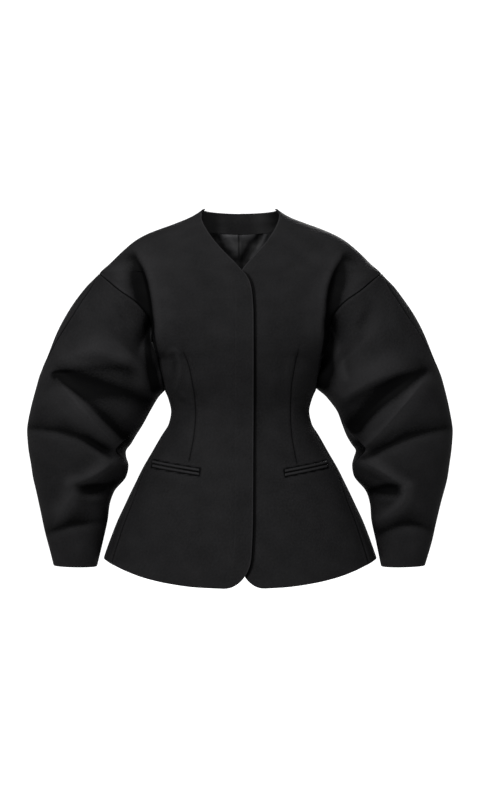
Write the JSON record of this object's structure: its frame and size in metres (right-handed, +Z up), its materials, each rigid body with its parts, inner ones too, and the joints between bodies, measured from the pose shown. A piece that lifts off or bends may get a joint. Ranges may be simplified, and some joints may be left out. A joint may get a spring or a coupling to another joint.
{
  "type": "collarless blazer",
  "caption": "Collarless V-neck blazer with a nipped waist, flared hem, full rounded sleeves and welt pockets, in the hollow form it has when worn.",
  "frame": {"origin": "midway between the two side neck points, at their height, where the wearer's shoulders carry the garment", "axes": "+X to the wearer's left, -Y to the front, +Z up"},
  "size_m": [0.7818, 0.3083, 0.6817],
  "materials": {
    "black_wool": "matte, fine twill suiting with a faint sheen on its ridges",
    "black_satin": "soft satin lining"
  },
  "bodies": {
    "root": {"front_right": "black_wool", "side_right": "black_wool", "back_right": "black_wool", "sleeve_front_right": "black_wool", "sleeve_back_right": "black_wool", "front_left": "black_wool", "side_left": "black_wool", "back_left": "black_wool", "sleeve_front_left": "black_wool", "sleeve_back_left": "black_wool", "pocket_lip_upper_right": "black_wool", "pocket_lip_lower_right": "black_wool", "pocket_lip_upper_left": "black_wool", "pocket_lip_lower_left": "black_wool", "back_neck_facing": "black_wool", "back_lining": "black_satin"}
  },
  "joints": []
}
